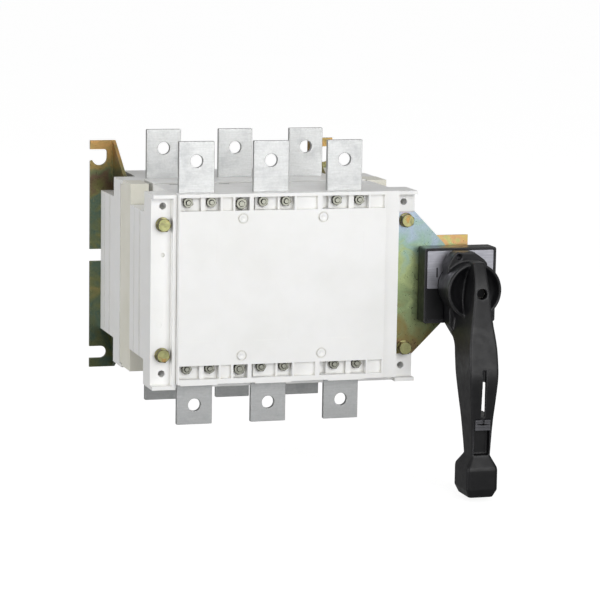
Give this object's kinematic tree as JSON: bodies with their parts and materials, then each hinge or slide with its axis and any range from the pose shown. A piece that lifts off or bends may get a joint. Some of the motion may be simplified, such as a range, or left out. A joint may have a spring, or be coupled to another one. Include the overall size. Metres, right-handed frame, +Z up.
{
  "type": "manual transfer switch",
  "caption": "Manual transfer switch with two stacked three-pole modules on slotted mounting rails, worked by one rotary handle at the side.",
  "frame": {"origin": "on the mounting plane, on the back of the left rail beside its middle slot, 95.5 mm left of the middle pole and half-way between the upper and lower terminal holes", "axes": "+X to the drive and handle side, +Y from the handle towards the mounting wall, +Z up"},
  "size_m": [0.3111, 0.282, 0.2973],
  "materials": {
    "white_moulding": "satin white moulding",
    "cream_moulding": "satin cream moulding",
    "tinned_bar": "tinned copper bar, brushed lengthwise",
    "contact_copper": "bare contact copper",
    "carriage_moulding": "dark moulded insulation",
    "yellow_zinc": "iridescent yellow zinc plating",
    "front_plate_zinc": "iridescent yellow zinc plating",
    "frame_zinc": "yellow zinc plating",
    "zinc_fastener": "yellow zinc plated screw",
    "fastener_steel": "plated screw",
    "mechanism_steel": "bright zinc plated steel",
    "black_plastic": "semi-gloss black moulding",
    "dial_silver": "satin printed label",
    "grey_plastic": "grey moulding"
  },
  "bodies": {
    "switch_body": {"left_mounting_rail": "yellow_zinc", "right_mounting_rail": "yellow_zinc", "left_rail_screw_1": "fastener_steel", "left_rail_screw_2": "fastener_steel", "right_rail_screw_1": "fastener_steel", "right_rail_screw_2": "fastener_steel", "left_spacer": "cream_moulding", "right_spacer": "cream_moulding", "rear_module_base": "white_moulding", "rear_module_cover": "white_moulding", "front_module_base": "white_moulding", "front_module_cover": "white_moulding", "rear_top_terminal_1": "tinned_bar", "rear_bottom_terminal_1": "tinned_bar", "rear_top_terminal_2": "tinned_bar", "rear_bottom_terminal_2": "tinned_bar", "rear_top_terminal_3": "tinned_bar", "rear_bottom_terminal_3": "tinned_bar", "front_top_terminal_1": "tinned_bar", "front_bottom_terminal_1": "tinned_bar", "front_top_terminal_2": "tinned_bar", "front_bottom_terminal_2": "tinned_bar", "front_top_terminal_3": "tinned_bar", "front_bottom_terminal_3": "tinned_bar", "top_clamp_screw_1": "fastener_steel", "top_clamp_screw_2": "fastener_steel", "top_clamp_screw_3": "fastener_steel", "top_clamp_screw_4": "fastener_steel", "top_clamp_screw_5": "fastener_steel", "top_clamp_screw_6": "fastener_steel", "bottom_clamp_screw_1": "fastener_steel", "bottom_clamp_screw_2": "fastener_steel", "bottom_clamp_screw_3": "fastener_steel", "bottom_clamp_screw_4": "fastener_steel", "bottom_clamp_screw_5": "fastener_steel", "bottom_clamp_screw_6": "fastener_steel", "top_cover_bolt": "fastener_steel", "bottom_cover_bolt": "fastener_steel", "left_top_tie_bolt": "zinc_fastener", "right_top_tie_bolt": "zinc_fastener", "left_bottom_tie_bolt": "zinc_fastener", "right_bottom_tie_bolt": "zinc_fastener", "mechanism_plate": "front_plate_zinc", "drive_frame": "frame_zinc", "rocker_pin": "mechanism_steel", "handle_surround": "black_plastic", "dial_plate": "dial_silver"},
    "handle": {"handle": "black_plastic", "handle_screw": "mechanism_steel", "crankshaft": "mechanism_steel"},
    "lock": {"lock_slider": "grey_plastic"},
    "front_carriage": {"front_contact_carriage": "carriage_moulding", "front_moving_contact_1": "contact_copper", "front_moving_contact_2": "contact_copper", "front_moving_contact_3": "contact_copper"},
    "rear_carriage": {"rear_contact_carriage": "carriage_moulding", "rear_moving_contact_1": "contact_copper", "rear_moving_contact_2": "contact_copper", "rear_moving_contact_3": "contact_copper"},
    "rocker": {"rocker": "mechanism_steel"}
  },
  "joints": [
    {"name": "handle_turn", "type": "hinge", "parent": "switch_body", "child": "handle", "pos_m": [0.2601, -0.215, -0.0042], "axis": [0, 1, 0], "range_deg": [-90, 90]},
    {"name": "front_contact_slide", "type": "slide", "parent": "switch_body", "child": "front_carriage", "axis": [1, 0, 0], "range_m": [-0.0142, 0.0142]},
    {"name": "rear_contact_slide", "type": "slide", "parent": "switch_body", "child": "rear_carriage", "axis": [1, 0, 0], "range_m": [-0.0142, 0.0142]},
    {"name": "rocker_swing", "type": "hinge", "parent": "switch_body", "child": "rocker", "pos_m": [0.2445, -0.1005, -0.0145], "axis": [0, 0, 1], "range_deg": [-13.9, 13.9]},
    {"name": "lock_slide", "type": "slide", "parent": "handle", "child": "lock", "axis": [0, 0, -1], "range_m": [0, 0.018]}
  ],
  "couplings": [
    {"joint": "front_contact_slide", "follows": "handle_turn", "m_per_rad": 0.0089127},
    {"joint": "rear_contact_slide", "follows": "handle_turn", "m_per_rad": -0.0089127},
    {"joint": "rocker_swing", "follows": "handle_turn", "ratio": 0.15204}
  ]
}
